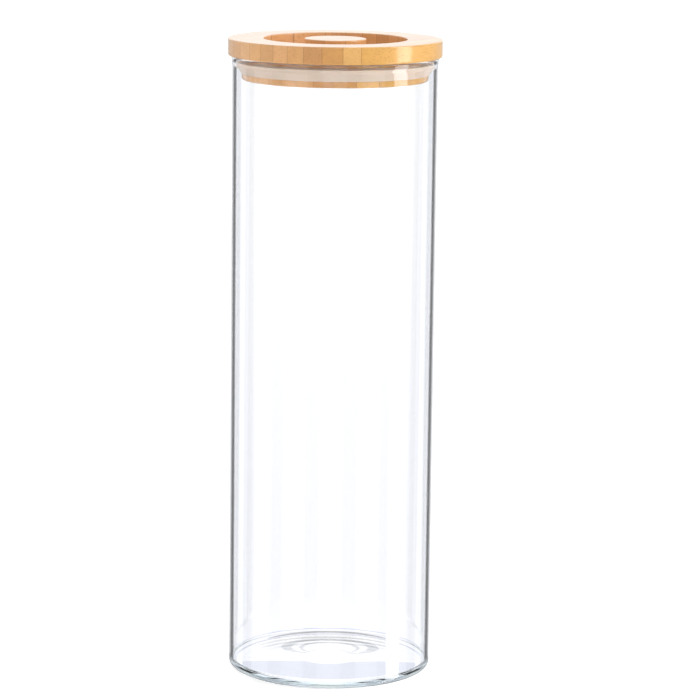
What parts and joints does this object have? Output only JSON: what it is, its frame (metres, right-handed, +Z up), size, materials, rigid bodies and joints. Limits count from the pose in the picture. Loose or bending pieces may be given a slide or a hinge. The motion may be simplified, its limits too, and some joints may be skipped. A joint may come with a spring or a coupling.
{
  "type": "lidded glass canister",
  "caption": "Tall straight-sided clear glass storage canister with a turned bamboo lid, a silicone lip seal and a finger groove round a flush knob.",
  "frame": {"origin": "centre of the jar's foot, on the surface it stands on", "axes": "+Z up along the jar's axis towards the lid; -Y is the front; the bamboo strips are stacked 40 degrees clockwise from +X, seen from above"},
  "size_m": [0.1042, 0.1042, 0.3129],
  "materials": {
    "glass": "clear, polished",
    "silicone": "translucent, satin",
    "bamboo_pale": "sanded, oiled",
    "bamboo_honey": "sanded, oiled",
    "bamboo_amber": "sanded, oiled"
  },
  "bodies": {
    "jar": {"glass_jar": "glass"},
    "seal": {"silicone_seal": "silicone"},
    "lid": {"bamboo_strip_01": "bamboo_honey", "bamboo_strip_02": "bamboo_pale", "bamboo_strip_03": "bamboo_honey", "bamboo_strip_04": "bamboo_pale", "bamboo_strip_05": "bamboo_pale", "bamboo_strip_06": "bamboo_honey", "bamboo_strip_07": "bamboo_amber", "bamboo_strip_08": "bamboo_pale", "bamboo_strip_09": "bamboo_honey", "bamboo_strip_10": "bamboo_honey", "bamboo_strip_11": "bamboo_amber", "bamboo_strip_12": "bamboo_amber", "bamboo_strip_13": "bamboo_honey", "bamboo_strip_14": "bamboo_pale"}
  },
  "joints": [
    {"name": "lid_lift", "type": "slide", "parent": "jar", "child": "seal", "axis": [0, 0, 1], "range_m": [0, 0.12]},
    {"name": "lid_turn", "type": "hinge", "parent": "seal", "child": "lid", "pos_m": [0, 0, 0.2992], "axis": [0, 0, 1], "continuous": true}
  ]
}
